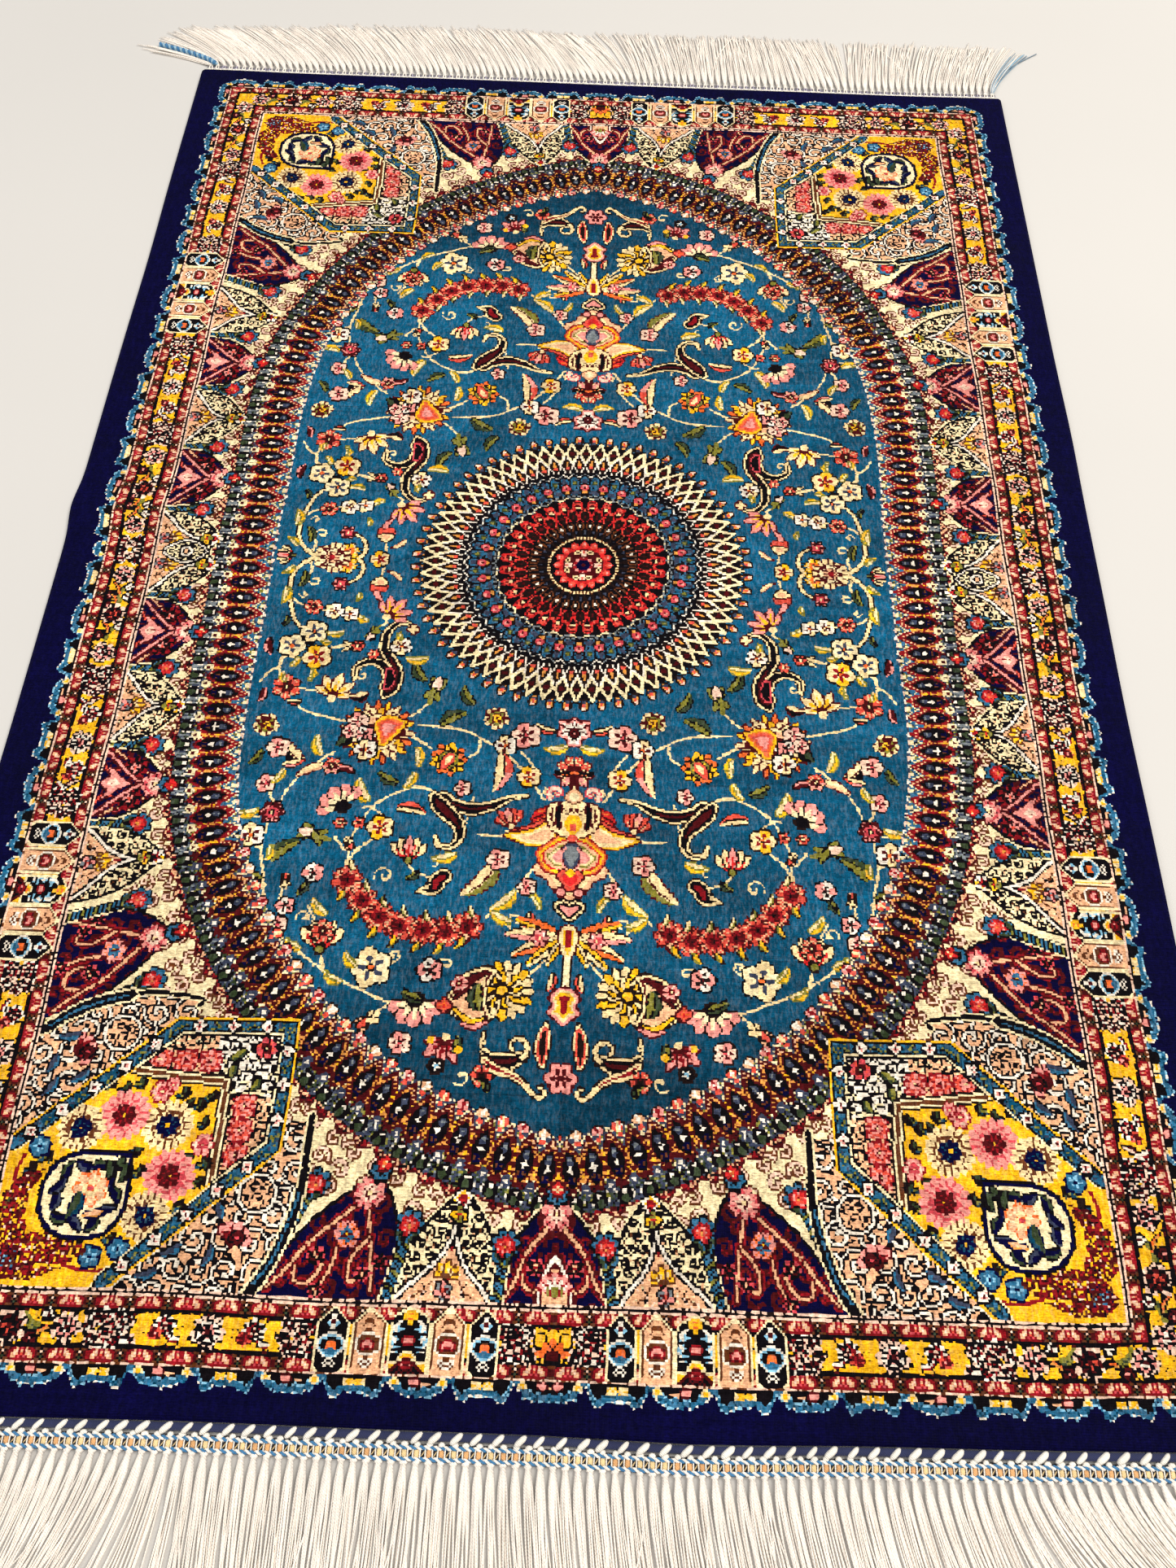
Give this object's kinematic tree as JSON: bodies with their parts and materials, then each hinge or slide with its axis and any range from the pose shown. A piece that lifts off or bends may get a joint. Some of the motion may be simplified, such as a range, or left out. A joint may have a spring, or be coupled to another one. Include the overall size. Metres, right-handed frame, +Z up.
{
  "type": "silk rug",
  "caption": "Small rectangular knotted silk rug lying flat, with a centre medallion, patterned borders, a stitched heading and a loose fringe at each end.",
  "frame": {"origin": "middle of the cloth's underside, on the floor that the rug lies on", "axes": "+X across the rug, +Y along it towards the plain far end, +Z up through the pile"},
  "size_m": [0.6814, 1.034, 0.003],
  "materials": {
    "silk_pile": "short cut silk pile in many colours, soft sheen",
    "overcast_cord": "dark blue plain weave with off-white overcast stitches",
    "fringe_silk": "off-white twisted threads, soft sheen"
  },
  "bodies": {
    "root": {"rug_cloth": "silk_pile", "overcast_roll_near": "overcast_cord", "fringe_near": "fringe_silk", "fringe_far": "fringe_silk"}
  },
  "joints": []
}
